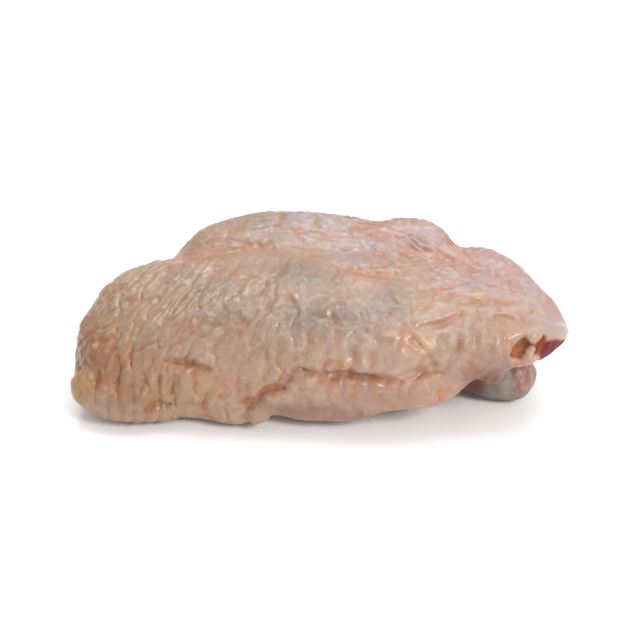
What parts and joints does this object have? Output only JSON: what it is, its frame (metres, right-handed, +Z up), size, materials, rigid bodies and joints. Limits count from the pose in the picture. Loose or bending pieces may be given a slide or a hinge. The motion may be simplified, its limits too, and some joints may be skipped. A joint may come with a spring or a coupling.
{
  "type": "raw chicken wing",
  "caption": "Raw chicken wing folded at the elbow and lying skin side up, with creased skin, a cut shoulder and the head of the humerus showing below it.",
  "frame": {"origin": "middle of the bounding box's bottom, on the surface that the wing lies on", "axes": "+X along the wing from the folded elbow to the cut shoulder, +Y from the front edge to the open side of the fold, +Z up"},
  "size_m": [0.1108, 0.0676, 0.035],
  "materials": {
    "skin": "moist raw poultry skin, semi-gloss and slightly translucent",
    "cartilage": "moist, smooth bluish white cartilage"
  },
  "bodies": {
    "root": {"wing": "skin", "humerus": "cartilage"}
  },
  "joints": []
}
